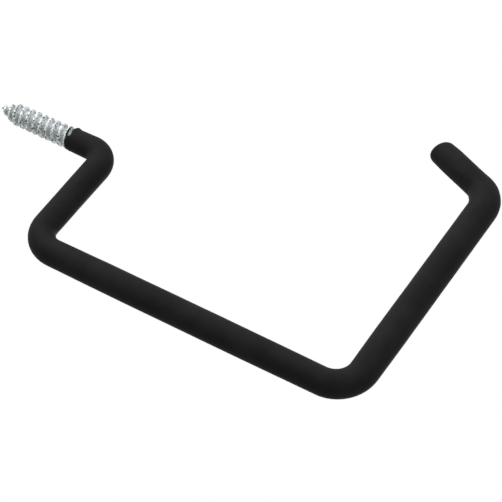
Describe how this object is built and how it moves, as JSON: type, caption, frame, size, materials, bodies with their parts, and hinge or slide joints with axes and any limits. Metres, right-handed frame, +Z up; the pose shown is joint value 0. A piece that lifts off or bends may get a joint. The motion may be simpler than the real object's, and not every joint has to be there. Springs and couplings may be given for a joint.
{
  "type": "storage hook",
  "caption": "Screw-in storage hook: a steel rod bent into a wide flat cradle with a turned-in tip, wood-screw thread at the wall end, thick vinyl jacket over the rest.",
  "frame": {"origin": "on the screw's axis, where the jacket's lip meets the wall", "axes": "the wall is the plane X = 0: +X points out of the wall along the screw, +Z points up, and the bent rod lies in the XZ plane"},
  "size_m": [0.2155, 0.0132, 0.1409],
  "materials": {
    "zinc_plated_steel": "bright zinc plating with the faint drag marks of thread rolling",
    "black_vinyl": "soft satin dipped vinyl"
  },
  "bodies": {
    "root": {"steel_rod": "zinc_plated_steel", "vinyl_coating": "black_vinyl"}
  },
  "joints": []
}
